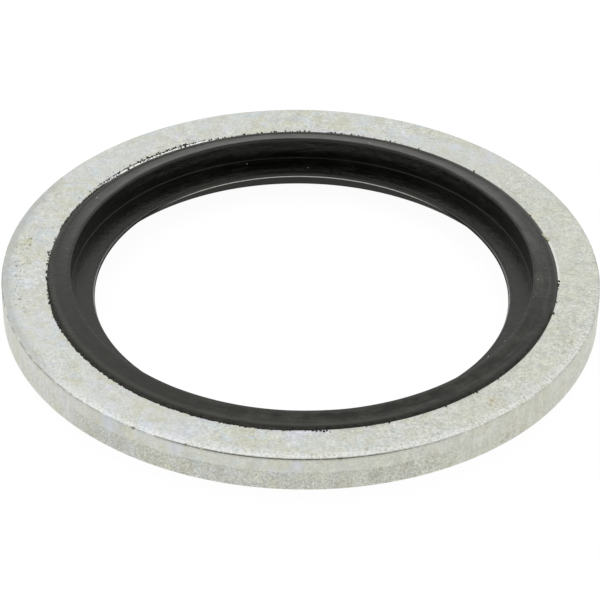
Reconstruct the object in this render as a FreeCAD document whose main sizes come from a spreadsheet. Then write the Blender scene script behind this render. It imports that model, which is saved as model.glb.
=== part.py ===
import FreeCAD, Part
import math
import os
import Sketcher
from FreeCAD import Vector

# A self-centring bonded sealing washer for an M16 thread.
# A blanked steel ring carries a moulded rubber ring, vulcanised to its bore.
# The rubber stands proud of both steel faces as a sealing lip. A thin web runs from
# the lips to the bolt and centres the washer on it.
# The axis is Z. Z = 0 is the plane that the lower lip rests on.

# Driving dimensions in millimetres: alias, value, what it measures.
SIZES = (
    ("steel_width", 1.75, "steel ring, from its bore to its outer wall: 24 mm across in all"),
    ("steel_thickness", 1.5, "strip that the ring is blanked from"),
    ("roll_width", 0.3, "band of the top face that the blanking punch draws down"),
    ("roll_depth", 0.03, "drop of that band at the outer wall"),
    ("burnished_height", 0.66, "smooth sheared part of the outer wall, below the roll"),
    ("fracture_taper", 0.04, "inward lean of the torn part of the wall, down to the lower face"),
    ("upper_edge_break", 0.02, "edge between the roll and the wall, broken by tumbling"),
    ("lower_edge_break", 0.03, "deburred edge of the lower face"),
    ("seal_bore", 16.7, "hole in the rubber, which centres on an M16 bolt"),
    ("web_width", 0.93, "thin centring web, from the bore to the foot of the lips"),
    ("lip_width", 0.97, "lips, from their foot at the web to the steel"),
    ("crest_setback", 0.06, "from the foot of a lip out to the line of its crest"),
    ("rubber_height", 2.27, "rubber ring, from crest to crest"),
    ("rubber_drop", 0.14, "rubber's middle plane below the steel's, from its seat in the mould"),
    ("crest_radius", 0.055, "rounding of each crest"),
    ("ramp_radius", 2.0, "hollow of the slope between a crest and the steel"),
    ("edge_step_height", 0.08, "edge of the rubber above the steel face, at the bond line"),
    ("edge_step_width", 0.18, "radial width of that edge's slope"),
    ("web_root_thickness", 0.38, "web where it meets the lips"),
    ("rim_thickness", 0.26, "straight land at the bore, where the web ends"),
    ("foot_relief", 0.03, "bevel in the corner between the web and a lip"),
)

# Sizes that both pieces, or both lips, share.
HALF_STEEL = "sizes.steel_thickness / 2"
HALF_RUBBER = "sizes.rubber_height / 2"
BORE_RADIUS = "sizes.seal_bore / 2"
FOOT_RADIUS = BORE_RADIUS + " + sizes.web_width"
CREST_RADIUS = FOOT_RADIUS + " + sizes.crest_setback"
BOND_RADIUS = FOOT_RADIUS + " + sizes.lip_width"
OUTER_RADIUS = BOND_RADIUS + " + sizes.steel_width"
STEEL_TOP_IN_RUBBER = HALF_STEEL + " + sizes.rubber_drop"
STEEL_BOTTOM_IN_RUBBER = HALF_STEEL + " - sizes.rubber_drop"

# How Sketcher counts: the sketch's own X axis and origin, then the points of a curve.
X_AXIS = -1
ORIGIN = (-1, 1)
START = 1
END = 2
CENTRE = 3

FULL_TURN = 360
MATCH = 1e-5


def make_sheet(doc):
    """Puts the driving dimensions into a sheet, one row each, with their aliases."""
    sheet = doc.addObject("Spreadsheet::Sheet", "sizes")
    for row, (alias, value, meaning) in enumerate(SIZES, start=1):
        sheet.set("A%d" % row, alias)
        sheet.set("B%d" % row, str(value))
        sheet.set("C%d" % row, meaning)
        sheet.setAlias("B%d" % row, alias)
    doc.recompute()
    return sheet


def section_sketch(body, name):
    """Adds a sketch on the body's own XZ plane, where a ring's section is drawn."""
    plane = next(part for part in body.Origin.OriginFeatures if part.Role == "XZ_Plane")
    sketch = body.newObject("Sketcher::SketchObject", name)
    sketch.AttachmentSupport = [(plane, "")]
    sketch.MapMode = "FlatFace"
    return sketch


def line(sketch, start, end):
    return sketch.addGeometry(Part.LineSegment(Vector(*start, 0), Vector(*end, 0)))


def arc(sketch, centre, start, end):
    """Adds an arc that runs anticlockwise about its centre from start to end."""
    radius = math.dist(centre, start)
    from_angle = math.atan2(start[1] - centre[1], start[0] - centre[0])
    to_angle = math.atan2(end[1] - centre[1], end[0] - centre[0])
    circle = Part.Circle(Vector(*centre, 0), Vector(0, 0, 1), radius)
    return sketch.addGeometry(Part.ArcOfCircle(circle, from_angle, to_angle))


def join(sketch, kind, first, first_point, second, second_point):
    sketch.addConstraint(Sketcher.Constraint(kind, first, first_point, second, second_point))


def bind(sketch, name, expression, kind, *where):
    """Adds a dimension whose value follows an expression on the sheet."""
    value = float(sketch.evalExpression(expression))
    index = sketch.addConstraint(Sketcher.Constraint(kind, *where, value))
    sketch.renameConstraint(index, name)
    sketch.setExpression("Constraints." + name, expression)


def revolve(body, sketch, name):
    """Turns a section about Z into a full ring."""
    ring = body.newObject("PartDesign::Revolution", name)
    ring.Profile = sketch
    ring.ReferenceAxis = (sketch, ["V_Axis"])
    ring.Angle = FULL_TURN
    sketch.Visibility = False
    body.Document.recompute()
    return ring


def edges_round(shape, radius, height):
    """Names the edges of a ring that are circles of this radius at this height."""
    names = []
    for number, edge in enumerate(shape.Edges, start=1):
        curve = edge.Curve
        if not isinstance(curve, Part.Circle):
            continue
        if abs(curve.Radius - radius) < MATCH and abs(curve.Center.z - height) < MATCH:
            names.append("Edge%d" % number)
    return names


def bevel(body, base, name, edges, expression):
    """Bevels named edges of the feature below, by a size from the sheet."""
    cut = body.newObject("PartDesign::Chamfer", name)
    cut.Base = (base, edges)
    cut.setExpression("Size", expression)
    body.Document.recompute()
    return cut


def make_steel_ring(doc):
    """The blanked ring: its outer wall shows roll, burnished band and torn taper."""
    body = doc.addObject("PartDesign::Body", "steel_ring")
    body.Label = "steel_ring"
    sketch = section_sketch(body, "steel_section")

    def value(expression):
        return float(sketch.evalExpression(expression))

    bore = value(BOND_RADIUS)
    outer = value(OUTER_RADIUS)
    half = value(HALF_STEEL)
    width = value("sizes.roll_width")
    depth = value("sizes.roll_depth")
    wall_top = half - depth
    wall_bottom = wall_top - value("sizes.burnished_height")
    lower_outer = outer - value("sizes.fracture_taper")
    roll_curve = (width ** 2 + depth ** 2) / (2 * depth)

    bottom = line(sketch, (bore, -half), (lower_outer, -half))
    torn = line(sketch, (lower_outer, -half), (outer, wall_bottom))
    wall = line(sketch, (outer, wall_bottom), (outer, wall_top))
    roll = arc(sketch, (outer - width, half - roll_curve), (outer, wall_top), (outer - width, half))
    top = line(sketch, (outer - width, half), (bore, half))
    bond = line(sketch, (bore, half), (bore, -half))

    join(sketch, "Coincident", bottom, END, torn, START)
    join(sketch, "Coincident", torn, END, wall, START)
    join(sketch, "Coincident", wall, END, roll, START)
    join(sketch, "Tangent", roll, END, top, START)
    join(sketch, "Coincident", top, END, bond, START)
    join(sketch, "Coincident", bond, END, bottom, START)
    for level in (bottom, top):
        sketch.addConstraint(Sketcher.Constraint("Horizontal", level))
    for upright in (wall, bond):
        sketch.addConstraint(Sketcher.Constraint("Vertical", upright))

    bind(sketch, "bond_radius", BOND_RADIUS, "DistanceX", *ORIGIN, bottom, START)
    bind(sketch, "outer_radius", OUTER_RADIUS, "DistanceX", *ORIGIN, wall, END)
    bind(sketch, "half_above", HALF_STEEL, "DistanceY", *ORIGIN, top, END)
    bind(sketch, "half_below", HALF_STEEL, "DistanceY", bottom, START, *ORIGIN)
    bind(sketch, "taper", "sizes.fracture_taper", "DistanceX", torn, START, torn, END)
    bind(sketch, "burnished", "sizes.burnished_height", "DistanceY", wall, START, wall, END)
    bind(sketch, "roll_width", "sizes.roll_width", "DistanceX", roll, END, roll, START)
    bind(sketch, "roll_depth", "sizes.roll_depth", "DistanceY", roll, START, roll, END)

    ring = revolve(body, sketch, "blank")
    upper_edge = edges_round(ring.Shape, outer, wall_top)
    tumbled = bevel(body, ring, "upper_edge", upper_edge, "sizes.upper_edge_break")
    lower_edge = edges_round(tumbled.Shape, lower_outer, -half)
    bevel(body, tumbled, "lower_edge", lower_edge, "sizes.lower_edge_break")
    body.setExpression(".Placement.Base.z", HALF_RUBBER + " + sizes.rubber_drop")
    return body


def ramp_centre(crest, crest_radius, ramp_radius, edge):
    """Centre of the hollow arc that leaves the crest's arc smoothly and ends at edge."""
    span = math.dist(crest, edge)
    along = ((crest_radius + ramp_radius) ** 2 - ramp_radius ** 2 + span ** 2) / (2 * span)
    across = math.sqrt((crest_radius + ramp_radius) ** 2 - along ** 2)
    unit = ((edge[0] - crest[0]) / span, (edge[1] - crest[1]) / span)
    return (crest[0] + along * unit[0] - across * unit[1],
            crest[1] + along * unit[1] + across * unit[0])


def lip_points(value, steel_face):
    """Places the joints of one lip's outline, with heights counted away from the middle plane."""
    crest_radius = value("sizes.crest_radius")
    ramp_radius = value("sizes.ramp_radius")
    bond = (value(BOND_RADIUS), steel_face)
    edge = (bond[0] - value("sizes.edge_step_width"), steel_face + value("sizes.edge_step_height"))
    crest = (value(CREST_RADIUS), value(HALF_RUBBER) - crest_radius)
    ramp = ramp_centre(crest, crest_radius, ramp_radius, edge)
    share = crest_radius / (crest_radius + ramp_radius)
    shoulder = tuple(c + share * (k - c) for c, k in zip(crest, ramp))
    foot = (value(FOOT_RADIUS), value("sizes.web_root_thickness") / 2)
    reach = math.dist(foot, crest)
    lean = math.atan2(crest[1] - foot[1], crest[0] - foot[0]) + math.asin(crest_radius / reach)
    flank_top = (crest[0] - crest_radius * math.sin(lean), crest[1] + crest_radius * math.cos(lean))
    return {"bond": bond, "edge": edge, "crest": crest, "ramp": ramp,
            "shoulder": shoulder, "foot": foot, "flank_top": flank_top}


def flip(point):
    return (point[0], -point[1])


def make_rubber_seal(doc):
    """The moulded ring: a lip above and below, and the thin web between them at the bore."""
    body = doc.addObject("PartDesign::Body", "rubber_seal")
    body.Label = "rubber_seal"
    sketch = section_sketch(body, "rubber_section")

    def value(expression):
        return float(sketch.evalExpression(expression))

    up = lip_points(value, value(STEEL_TOP_IN_RUBBER))
    down = {name: flip(point) for name, point in lip_points(value, value(STEEL_BOTTOM_IN_RUBBER)).items()}
    rim = (value(BORE_RADIUS), value("sizes.rim_thickness") / 2)

    bond = line(sketch, down["bond"], up["bond"])
    edge = line(sketch, up["bond"], up["edge"])
    ramp = arc(sketch, up["ramp"], up["shoulder"], up["edge"])
    crest = arc(sketch, up["crest"], up["shoulder"], up["flank_top"])
    flank = line(sketch, up["flank_top"], up["foot"])
    web = line(sketch, up["foot"], rim)
    land = line(sketch, rim, flip(rim))
    low_web = line(sketch, flip(rim), down["foot"])
    low_flank = line(sketch, down["foot"], down["flank_top"])
    low_crest = arc(sketch, down["crest"], down["flank_top"], down["shoulder"])
    low_ramp = arc(sketch, down["ramp"], down["edge"], down["shoulder"])
    low_edge = line(sketch, down["edge"], down["bond"])

    join(sketch, "Coincident", bond, END, edge, START)
    join(sketch, "Coincident", edge, END, ramp, END)
    join(sketch, "Tangent", ramp, START, crest, START)
    join(sketch, "Tangent", crest, END, flank, START)
    join(sketch, "Coincident", flank, END, web, START)
    join(sketch, "Coincident", web, END, land, START)
    join(sketch, "Coincident", land, END, low_web, START)
    join(sketch, "Coincident", low_web, END, low_flank, START)
    join(sketch, "Tangent", low_flank, END, low_crest, START)
    join(sketch, "Tangent", low_crest, END, low_ramp, END)
    join(sketch, "Coincident", low_ramp, START, low_edge, START)
    join(sketch, "Coincident", low_edge, END, bond, START)
    for upright in (bond, land):
        sketch.addConstraint(Sketcher.Constraint("Vertical", upright))
    sketch.addConstraint(Sketcher.Constraint("Symmetric", web, START, low_web, END, X_AXIS))
    sketch.addConstraint(Sketcher.Constraint("Symmetric", crest, CENTRE, low_crest, CENTRE, X_AXIS))
    sketch.addConstraint(Sketcher.Constraint("Equal", crest, low_crest))
    sketch.addConstraint(Sketcher.Constraint("Equal", ramp, low_ramp))

    bind(sketch, "bond_radius", BOND_RADIUS, "DistanceX", *ORIGIN, bond, START)
    bind(sketch, "steel_top", STEEL_TOP_IN_RUBBER, "DistanceY", *ORIGIN, bond, END)
    bind(sketch, "steel_bottom", STEEL_BOTTOM_IN_RUBBER, "DistanceY", bond, START, *ORIGIN)
    bind(sketch, "edge_width", "sizes.edge_step_width", "DistanceX", edge, END, edge, START)
    bind(sketch, "edge_height", "sizes.edge_step_height", "DistanceY", edge, START, edge, END)
    bind(sketch, "low_edge_width", "sizes.edge_step_width", "DistanceX", low_edge, START, low_edge, END)
    bind(sketch, "low_edge_height", "sizes.edge_step_height", "DistanceY", low_edge, START, low_edge, END)
    bind(sketch, "ramp_radius", "sizes.ramp_radius", "Radius", ramp)
    bind(sketch, "crest_radius", "sizes.crest_radius", "Radius", crest)
    bind(sketch, "crest_line", CREST_RADIUS, "DistanceX", *ORIGIN, crest, CENTRE)
    bind(sketch, "crest_height", HALF_RUBBER + " - sizes.crest_radius", "DistanceY", *ORIGIN, crest, CENTRE)
    bind(sketch, "foot_line", FOOT_RADIUS, "DistanceX", *ORIGIN, web, START)
    bind(sketch, "root_height", "sizes.web_root_thickness / 2", "DistanceY", *ORIGIN, web, START)
    bind(sketch, "bore_radius", BORE_RADIUS, "DistanceX", *ORIGIN, land, START)
    bind(sketch, "land_above", "sizes.rim_thickness / 2", "DistanceY", *ORIGIN, land, START)
    bind(sketch, "land_below", "sizes.rim_thickness / 2", "DistanceY", land, END, *ORIGIN)

    ring = revolve(body, sketch, "moulding")
    foot = value(FOOT_RADIUS)
    root = value("sizes.web_root_thickness") / 2
    feet = edges_round(ring.Shape, foot, root) + edges_round(ring.Shape, foot, -root)
    bevel(body, ring, "lip_feet", feet, "sizes.foot_relief")
    body.setExpression(".Placement.Base.z", HALF_RUBBER)
    return body


def check(doc, bodies):
    """Stops the build if a feature failed or a piece isn't one sound solid."""
    for part in doc.Objects:
        if "Invalid" in part.State or "Error" in part.State:
            raise RuntimeError("%s failed: %s" % (part.Name, part.State))
        if part.TypeId == "Sketcher::SketchObject" and not part.FullyConstrained:
            raise RuntimeError("%s is not fully constrained" % part.Name)
    for body in bodies:
        shape = body.Shape
        if shape.isNull() or not shape.isValid() or len(shape.Solids) != 1:
            raise RuntimeError("%s is not one valid solid" % body.Label)


doc = FreeCAD.newDocument("bonded_sealing_washer")
make_sheet(doc)
pieces = [make_steel_ring(doc), make_rubber_seal(doc)]
doc.recompute()
check(doc, pieces)

os.makedirs("parts", exist_ok=True)
for piece in pieces:
    piece.Shape.exportStep(os.path.join("parts", piece.Label + ".step"))
    box = piece.Shape.optimalBoundingBox(True, False)
    print("%s: %.3f mm across, Z %.3f to %.3f mm, %.3f mm3" % (
        piece.Label, box.XLength, box.ZMin, box.ZMax, piece.Shape.Volume))
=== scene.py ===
# %% [markdown]
# # A bonded sealing washer
#
# This lesson dresses one small part, a washer of 24 mm for an M16 bolt. On the real thing a flat ring is
# blanked from steel strip and zinc plated, and a ring of black rubber is moulded and vulcanised into its
# bore. The rubber has a sealing lip above and below the steel and a thin web that centres it on the bolt.
#
# The CAD model comes first, as a fixed frame. Its two solids have the right sizes but no finish, so this
# script makes a finer skin for each of them, at the same place and size, and then the small things that
# moulding leaves behind: a thin film of rubber on the steel, crumbs of it, and a few specks of dust.

# %% Load the frame
import math

import bmesh
import bpy
from mathutils import Matrix, Vector
from mathutils.bvhtree import BVHTree


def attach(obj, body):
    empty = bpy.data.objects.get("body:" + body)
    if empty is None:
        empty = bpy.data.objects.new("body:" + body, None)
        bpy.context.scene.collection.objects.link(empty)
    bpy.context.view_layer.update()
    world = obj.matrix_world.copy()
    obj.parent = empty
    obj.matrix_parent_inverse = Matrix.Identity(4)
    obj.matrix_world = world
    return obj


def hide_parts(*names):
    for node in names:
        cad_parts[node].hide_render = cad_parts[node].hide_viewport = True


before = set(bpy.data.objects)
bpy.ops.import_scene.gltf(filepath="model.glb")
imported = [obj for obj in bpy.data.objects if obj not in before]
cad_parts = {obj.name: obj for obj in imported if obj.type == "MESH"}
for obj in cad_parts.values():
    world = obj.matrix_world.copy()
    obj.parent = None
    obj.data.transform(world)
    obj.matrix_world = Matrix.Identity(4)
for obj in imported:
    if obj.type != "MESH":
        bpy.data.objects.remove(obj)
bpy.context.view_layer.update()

# %% [markdown]
# ## Units and colours
#
# Blender works in metres here and a washer is measured in millimetres, so every size below is written in
# millimetres and multiplied by MM once. Colours are written as a painter's hex code, the way they look on
# a screen. Blender's shaders want linear light, so one function turns them round.

# %% Units and colours
MM = 0.001


def colour(code):
    """Turns an sRGB hex code into linear light with full opacity."""
    parts = [int(code[i:i + 2], 16) / 255 for i in (1, 3, 5)]
    linear = [c / 12.92 if c <= 0.04045 else ((c + 0.055) / 1.055) ** 2.4 for c in parts]
    return (*linear, 1.0)


print("mid grey in linear light:", round(colour("#808080")[0], 3))

# %% [markdown]
# ## One helper for every node tree
#
# Shader trees and Geometry Nodes trees are built the same way: add a node, set it up, and run wires into
# it. One function does that. A socket becomes a wire, a node stands for its first output, and any other
# value is typed in.


# %% The add-node helper
def add(tree, kind, wires=None, **settings):
    """Adds a node, sets its properties, and fills or wires its inputs."""
    node = tree.nodes.new(kind)
    for name, value in settings.items():
        setattr(node, name, value)
    for key, value in (wires or {}).items():
        if isinstance(value, bpy.types.Node):
            value = value.outputs[0]
        if isinstance(value, bpy.types.NodeSocket):
            tree.links.new(value, node.inputs[key])
        else:
            node.inputs[key].default_value = value
    return node


# %% [markdown]
# ## The camera
#
# The photograph was taken with a long lens from 36 degrees above the bench, which the ratio of the ring's
# ellipses gives away. A long lens far away keeps the near and far edges almost the same size. The camera
# leans over by a little under a degree, because the photographer's did.

# %% Camera
ELEVATION = 0.630669     # radians above the bench
LEAN = 0.01452           # radians, anticlockwise in the picture
CAMERA_PLACE = Vector((-0.020, -110.41, 81.225)) * MM

level = (Vector((1, 0, 0)), Vector((0, math.sin(ELEVATION), math.cos(ELEVATION))))
to_camera = Vector((0, -math.cos(ELEVATION), math.sin(ELEVATION)))
right = level[0] * math.cos(LEAN) + level[1] * math.sin(LEAN)
up = level[1] * math.cos(LEAN) - level[0] * math.sin(LEAN)

lens = bpy.data.cameras.new("camera")
lens.lens = 202.93
lens.sensor_width = 36
lens.clip_start = 0.001
camera = bpy.data.objects.new("camera", lens)
camera.matrix_world = Matrix.Translation(CAMERA_PLACE) @ Matrix((right, up, to_camera)).transposed().to_4x4()
bpy.context.scene.collection.objects.link(camera)
bpy.context.scene.camera = camera
print("camera to washer in mm:", round(CAMERA_PLACE.length / MM, 1))

# %% [markdown]
# ## The light
#
# Small shiny parts are photographed in a white tent: light comes from every side, and the only dark thing
# that they can reflect is the opening with the camera in it. A world that is white all round, with one
# soft dark patch towards the camera, is that tent. Its strength is 1, so a colour looks about as written.
# One softbox above the back left gives the light a direction.
#
# The background is white because the floor and the world are white to the camera, at a strength of 1. The
# floor is half paint and half glow to the camera, so the washer's soft shadow stays on it. Glossy rays see
# it white as well, so that the steel's wall reflects a white table.

# %% World: a white tent with an opening for the camera
scene = bpy.context.scene
scene.view_settings.view_transform = "Standard"

world = bpy.data.worlds.new("white_tent")
world.use_nodes = True
tree = world.node_tree
tree.nodes.clear()
direction = add(tree, "ShaderNodeTexCoord").outputs["Generated"]
facing = add(tree, "ShaderNodeVectorMath", {0: direction, 1: tuple(to_camera)}, operation="DOT_PRODUCT")
opening = add(tree, "ShaderNodeMapRange", {
    "Value": facing.outputs["Value"], "From Min": math.cos(math.radians(48)),
    "From Max": math.cos(math.radians(16)), "To Min": 1.0, "To Max": 0.2}, interpolation_type="SMOOTHSTEP")
tent = add(tree, "ShaderNodeBackground", {"Color": colour("#FFFFFF"), "Strength": opening})
white = add(tree, "ShaderNodeBackground", {"Color": colour("#FFFFFF"), "Strength": 1.0})
seen = add(tree, "ShaderNodeLightPath").outputs["Is Camera Ray"]
both = add(tree, "ShaderNodeMixShader", {0: seen, 1: tent, 2: white})
add(tree, "ShaderNodeOutputWorld", {"Surface": both})
scene.world = world

# %% Softbox
softbox = bpy.data.lights.new("softbox", "AREA")
softbox.shape = "SQUARE"
softbox.size = 0.30
softbox.energy = 0.15
lamp = bpy.data.objects.new("softbox", softbox)
lamp.location = Vector((-180, 160, 420)) * MM
lamp.rotation_euler = lamp.location.to_track_quat("Z", "Y").to_euler()
scene.collection.objects.link(lamp)
print("softbox height in mm:", round(lamp.location.z / MM))

# %% Floor
FLOOR_HALF = 0.4         # metres
floor_mesh = bpy.data.meshes.new("floor")
corners = [(-1, -1), (1, -1), (1, 1), (-1, 1)]
floor_mesh.from_pydata([(x * FLOOR_HALF, y * FLOOR_HALF, -0.00001) for x, y in corners], [], [(0, 1, 2, 3)])
floor = bpy.data.objects.new("floor", floor_mesh)
scene.collection.objects.link(floor)

paper = bpy.data.materials.new("white_paper")
paper.use_nodes = True
tree = paper.node_tree
tree.nodes.clear()
rays = add(tree, "ShaderNodeLightPath")
below = add(tree, "ShaderNodeNewGeometry").outputs["Backfacing"]
matt = add(tree, "ShaderNodeBsdfDiffuse", {"Color": colour("#EFEFEF")})
half_matt = add(tree, "ShaderNodeBsdfDiffuse", {"Color": colour("#4A4A4A")})
glow = add(tree, "ShaderNodeEmission", {"Color": colour("#FAFAFA"), "Strength": 1.0})
half_glow = add(tree, "ShaderNodeAddShader", {0: half_matt, 1: glow})
seen = rays.outputs["Is Camera Ray"]
lit = add(tree, "ShaderNodeMixShader", {0: seen, 1: matt, 2: half_glow})
even = add(tree, "ShaderNodeEmission", {"Color": colour("#FDFDFD"), "Strength": 1.0})
lit = add(tree, "ShaderNodeMixShader", {0: rays.outputs["Is Glossy Ray"], 1: lit, 2: even})
clear = add(tree, "ShaderNodeBsdfTransparent")
one_sided = add(tree, "ShaderNodeMixShader", {0: below, 1: lit, 2: clear})
add(tree, "ShaderNodeOutputMaterial", {"Surface": one_sided})
floor_mesh.materials.append(paper)

# %% [markdown]
# ## The sizes
#
# These are the CAD model's own sizes, in millimetres above the bench, because the finer skins have to lie
# on its solids. The rubber ring sits a little low in the steel, as the photograph shows. A mould never
# closes quite true, so the rubber and the steel's bore also sit a few hundredths off the outer wall's
# centre, which only the skins show.

# %% Sizes in millimetres
BOND_RADIUS = 10.25      # where rubber meets steel
OUTER_RADIUS = 12.0
STEEL_BOTTOM = 0.525
STEEL_TOP = 2.025
BORE_RADIUS = 8.35       # the rim of the rubber web
FOOT_RADIUS = 9.31       # where the web meets the lips
FLANK_TOP = 9.277        # the flank leans in near its top
RIDGE_RADIUS = 9.400     # the top line of a lip
HALF_RUBBER = 1.135      # half the rubber's height, and the height of its middle plane
HALF_ROOT = 0.19         # half the web's thickness at the lips, and at its rim
HALF_RIM = 0.13
SEAL_OFF = (0.04, -0.03)        # how far the rubber sits off centre: right, back
BORE_OFF = (0.065, -0.02)       # and the steel's bore
SEAL_SHIFT, BORE_SHIFT = [(x * MM, y * MM, 0) for x, y in (SEAL_OFF, BORE_OFF)]
print("steel", round(STEEL_TOP - STEEL_BOTTOM, 3), "mm, rubber", 2 * HALF_RUBBER, "mm")

# %% [markdown]
# ## How a ring is swept
#
# A ring is one section carried round a circle. It could be made with the Spin tool or a Screw modifier,
# but then the section is only a shape. Geometry Nodes carry it with Curve to Mesh, and the section's
# points can hold marks, such as how torn the steel is there, which ride along onto the ring. The same
# tree then roughens the ring where a mark says so, and the materials read the marks too.
#
# The section is a closed loop of points, each with its radius, its height and its marks.


# %% Helpers that draw a section
def run(start, end, steps):
    """Points on a straight line, without its last point."""
    return [tuple(a + (b - a) * i / steps for a, b in zip(start, end)) for i in range(steps)]


def bow(centre, radius, start, end, steps):
    """Points on an arc between two angles in degrees, without its last point."""
    angles = [math.radians(start + (end - start) * i / steps) for i in range(steps)]
    return [(centre[0] + radius * math.cos(a), centre[1] + radius * math.sin(a)) for a in angles]


def arc(start, end, radius, steps):
    """Points on an arc that sags below the line from start to end, or bulges where the radius is negative."""
    chord = math.dist(start, end)
    rise = math.copysign(math.sqrt(radius ** 2 - (chord / 2) ** 2), radius) / chord
    centre = ((start[0] + end[0]) / 2 + rise * (end[1] - start[1]),
              (start[1] + end[1]) / 2 + rise * (start[0] - end[0]))
    angles = [math.degrees(math.atan2(p[1] - centre[1], p[0] - centre[0])) for p in (start, end)]
    return bow(centre, abs(radius), *angles, steps)


def swell(value, low, high):
    """Rises smoothly from 0 at low to 1 at high."""
    t = min(max((value - low) / (high - low), 0), 1)
    return t * t * (3 - 2 * t)


def section_object(name, points, marks):
    """Makes a closed loop of edges from (radius, height) points, with one named number per point and mark.

    The loop lies flat, with its own Y downwards, which is how Curve to Mesh stands it on the circle.
    """
    mesh = bpy.data.meshes.new(name)
    count = len(points)
    mesh.from_pydata([((r - BOND_RADIUS) * MM, -z * MM, 0) for r, z in points],
                     [(i, (i + 1) % count) for i in range(count)], [])
    for mark, values in marks.items():
        layer = mesh.attributes.new(mark, "FLOAT", "POINT")
        layer.data.foreach_set("value", values)
    piece = bpy.data.objects.new(name, mesh)
    scene.collection.objects.link(piece)
    return piece


# %% [markdown]
# The three rings share the way in which a section is carried round, and every tree ends the same way: with
# Realize Instances and Set Material. Then the result is frozen to a plain mesh and the modifier goes. A
# closed skin whose faces point outwards has a positive volume, so the last function measures that too, and
# turns the faces if the sign is wrong.


# %% Starting a tree, ending it and freezing its result
SHARP_FOLD = math.radians(35)        # edges that fold by more than this stay crisp


def new_tree(name, inputs):
    """Starts a Geometry Nodes tree with the named inputs, and returns it and them."""
    tree = bpy.data.node_groups.new(name, "GeometryNodeTree")
    tree.interface.new_socket("Geometry", in_out="INPUT", socket_type="NodeSocketGeometry")
    for label, kind in inputs:
        tree.interface.new_socket(label, in_out="INPUT", socket_type="NodeSocket" + kind)
    tree.interface.new_socket("Geometry", in_out="OUTPUT", socket_type="NodeSocketGeometry")
    return tree, add(tree, "NodeGroupInput").outputs


def carry_round(tree, given):
    """Stands the section upright on a circle and carries it round."""
    loop = add(tree, "GeometryNodeMeshToCurve", {"Mesh": given["Geometry"]})
    circle = add(tree, "GeometryNodeCurvePrimitiveCircle", {
        "Resolution": given["Segments"], "Radius": given["Sweep radius"]})
    upright = add(tree, "GeometryNodeSetCurveNormal", {"Curve": circle}, mode="Z_UP")
    return add(tree, "GeometryNodeCurveToMesh", {"Curve": upright, "Profile Curve": loop})


def smooth(tree, shape):
    """Shades a shape smooth, but for its sharp folds."""
    soft = add(tree, "GeometryNodeSetShadeSmooth", {"Geometry": shape, "Shade Smooth": True})
    fold = add(tree, "GeometryNodeInputMeshEdgeAngle")
    sharp = add(tree, "ShaderNodeMath", {0: fold, 1: SHARP_FOLD}, operation="GREATER_THAN")
    return add(tree, "GeometryNodeSetShadeSmooth", {
        "Geometry": soft, "Selection": sharp, "Shade Smooth": False}, domain="EDGE")


def end_tree(tree, given, shape):
    """Ends a tree: the shape becomes one real mesh with its material."""
    plain = add(tree, "GeometryNodeRealizeInstances", {"Geometry": shape})
    done = add(tree, "GeometryNodeSetMaterial", {"Geometry": plain, "Material": given["Finish"]})
    add(tree, "NodeGroupOutput", {"Geometry": done})


def freeze(piece, tree, values):
    """Runs a Geometry Nodes tree on a piece with named inputs, and keeps the result as its plain mesh."""
    modifier = piece.modifiers.new("make", "NODES")
    modifier.node_group = tree
    sockets = {s.name: s.identifier for s in tree.interface.items_tree if s.in_out == "INPUT"}
    for name, value in values.items():
        modifier[sockets[name]] = value
    graph = bpy.context.evaluated_depsgraph_get()
    made = bpy.data.meshes.new_from_object(piece.evaluated_get(graph))
    piece.modifiers.clear()
    old = piece.data
    piece.data = made
    made.name = piece.name
    bpy.data.meshes.remove(old)
    solid = bmesh.new()
    solid.from_mesh(made)
    volume = solid.calc_volume(signed=True) / MM ** 3
    solid.free()
    if volume < 0:
        made.flip_normals()
    triangles = sum(len(p.vertices) - 2 for p in made.polygons)
    print(piece.name, "has", triangles, "triangles and holds", round(abs(volume), 3), "cubic mm")
    return piece


# %% [markdown]
# ## Places round the ring
#
# Much on this washer is stronger on one side than on another. Two small groups of nodes say where on the
# ring a point is: the angle round it in degrees, counted from the right over the back, and a mask that is
# 1 along one stretch of the ring and fades out beyond it. Shader trees and Geometry Nodes both use them.


# %% Angle and stretch
def angle_round(tree, place):
    """The angle round the washer in degrees: 0 is the right, 90 the back, 270 the front."""
    axes = add(tree, "ShaderNodeSeparateXYZ", {0: place}).outputs
    angle = add(tree, "ShaderNodeMath", {0: axes["Y"], 1: axes["X"]}, operation="ARCTAN2")
    return add(tree, "ShaderNodeMath", {0: angle}, operation="DEGREES")


def stretch(tree, angle, middle, half, fade):
    """1 within half degrees of middle, fading to 0 over the next fade degrees."""
    off = add(tree, "ShaderNodeMath", {0: angle, 1: middle}, operation="SUBTRACT")
    turned = add(tree, "ShaderNodeMath", {0: off, 1: 180.0, 2: -180.0}, operation="WRAP")
    away = add(tree, "ShaderNodeMath", {0: turned}, operation="ABSOLUTE")
    return add(tree, "ShaderNodeMapRange", {
        "Value": away, "From Min": half, "From Max": half + fade, "To Min": 1.0, "To Max": 0.0},
        interpolation_type="SMOOTHSTEP")


# %% [markdown]
# ## What the materials share
#
# Every material reads Object coordinates in millimetres. A finish is built up as a painter would: a ground
# colour, then one thin coat over another, each with masks that say where it lies and how strongly.


# %% The start of a material, and its coats
def start_material(name):
    """Starts a material, and returns it with its empty tree and its Object coordinates in mm."""
    material = bpy.data.materials.new(name)
    material.use_nodes = True
    tree = material.node_tree
    tree.nodes.clear()
    place = add(tree, "ShaderNodeTexCoord").outputs["Object"]
    return material, tree, add(tree, "ShaderNodeVectorMath", {0: place, "Scale": 1 / MM}, operation="SCALE")


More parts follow.
